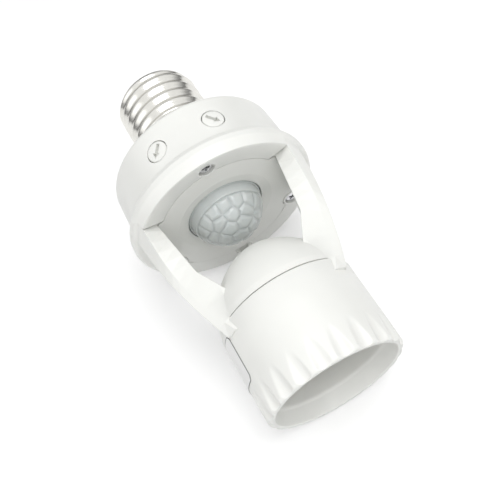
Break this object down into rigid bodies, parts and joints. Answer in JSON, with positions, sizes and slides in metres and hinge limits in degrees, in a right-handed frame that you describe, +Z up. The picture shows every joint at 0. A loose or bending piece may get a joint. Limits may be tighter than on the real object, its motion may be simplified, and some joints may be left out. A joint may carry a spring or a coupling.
{
  "type": "lamp socket with motion sensor",
  "caption": "Screw-in lamp socket with a built-in motion sensor: threaded cap, round housing with two setting dials, recessed faceted lens, two arms and a fluted bulb socket.",
  "frame": {"origin": "centre of the bulb socket's mouth, on the plane of its rim", "axes": "+Z up along the common axis, from the socket's mouth to the screw cap; -Y to the front, where the dials are; +X to the right as seen from the front"},
  "size_m": [0.0572, 0.0572, 0.1147],
  "materials": {
    "white_plastic": "satin white moulding",
    "lens_film": "milky translucent moulding",
    "nickel": "nickel-plated sheet",
    "steel": "zinc-plated",
    "brass": "bare sheet",
    "tin": "tinned",
    "insulation": "black moulding",
    "contact_plastic": "cream thermoset moulding",
    "laminate": "green circuit board",
    "dark_plastic": "moulded",
    "relay_plastic": "moulded",
    "capacitor_film": "dipped",
    "capacitor_sleeve": "shrunk sleeve",
    "red_wire": "insulated",
    "black_wire": "insulated"
  },
  "bodies": {
    "main": {"socket_skirt": "white_plastic", "bezel_yoke": "white_plastic", "right_arm_cover": "white_plastic", "left_arm_cover": "white_plastic", "upper_housing": "white_plastic", "sensor_plate": "white_plastic", "fresnel_lens": "lens_film", "screw_cap_shell": "nickel", "socket_thread_shell": "nickel", "bezel_screw_front": "steel", "bezel_screw_right": "steel", "bezel_screw_left": "steel", "base_screw_right": "steel", "base_screw_left": "steel", "centre_contact_rivet": "brass", "shell_rivet": "brass", "cap_centre_contact": "tin", "pir_sensor": "tin", "cap_insulator": "insulation", "contact_base": "contact_plastic", "circuit_board": "laminate", "time_potentiometer": "dark_plastic", "lux_potentiometer": "dark_plastic", "light_sensor": "dark_plastic", "relay": "relay_plastic", "film_capacitor": "capacitor_film", "electrolytic_capacitor": "capacitor_sleeve", "wire_live_in": "red_wire", "wire_live_out": "red_wire", "wire_neutral_in": "black_wire", "wire_neutral_out": "black_wire"},
    "time_setting": {"time_dial": "white_plastic"},
    "lux_setting": {"lux_dial": "white_plastic"},
    "tongue": {"centre_contact_tongue": "brass"}
  },
  "joints": [
    {"name": "time_dial_turn", "type": "hinge", "parent": "main", "child": "time_setting", "pos_m": [-0.00866, -0.02488, 0.0715], "axis": [0.3289, 0.9444, 0], "range_deg": [0, 270]},
    {"name": "lux_dial_turn", "type": "hinge", "parent": "main", "child": "lux_setting", "pos_m": [0.00866, -0.02488, 0.0715], "axis": [0.3289, -0.9444, 0], "range_deg": [0, 270]},
    {"name": "centre_contact_flex", "type": "hinge", "parent": "main", "child": "tongue", "pos_m": [0, 0.0025, 0.02865], "axis": [-1, 0, 0], "range_deg": [0, 10], "stiffness_Nm_per_rad": 0.02}
  ]
}
